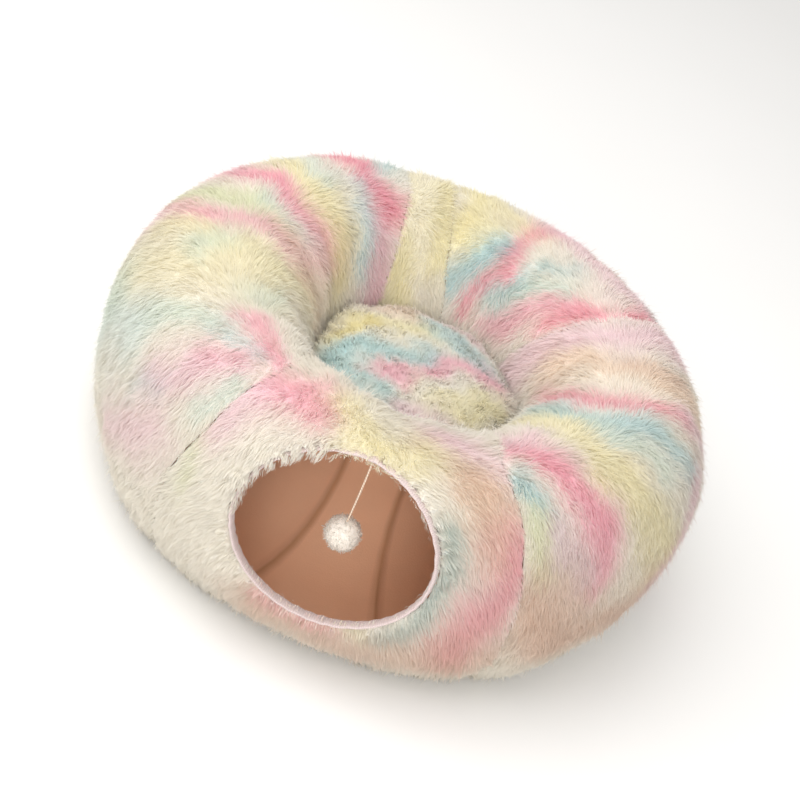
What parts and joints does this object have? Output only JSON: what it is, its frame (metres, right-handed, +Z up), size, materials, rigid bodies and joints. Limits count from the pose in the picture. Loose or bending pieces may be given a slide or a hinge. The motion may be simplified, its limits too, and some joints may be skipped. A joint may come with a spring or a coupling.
{
  "type": "cat hideaway bed",
  "caption": "Round plush bed: a hollow ring that is a tunnel with an oval mouth and a hanging pompom, and a stuffed cushion filling the well in its middle.",
  "frame": {"origin": "on the floor under the middle of the cushion", "axes": "+Z up, the mouth faces -Y, +X to the right of the mouth as seen from outside it"},
  "size_m": [0.6201, 0.6272, 0.2365],
  "materials": {
    "plush_shell": "long soft pile",
    "plush_cushion": "long soft pile",
    "lining_cloth": "smooth soft cloth",
    "edge_binding": "thin knitted tape",
    "cord": "twisted yarn",
    "pompom_yarn": "fluffy yarn"
  },
  "bodies": {
    "root": {"shell_front": "plush_shell", "shell_right": "plush_shell", "shell_back_right": "plush_shell", "shell_back_strip": "plush_shell", "shell_left": "plush_shell", "tunnel_lining": "lining_cloth", "mouth_binding": "edge_binding", "centre_cushion": "plush_cushion", "toy_cord": "cord", "toy_pompom": "pompom_yarn"}
  },
  "joints": []
}
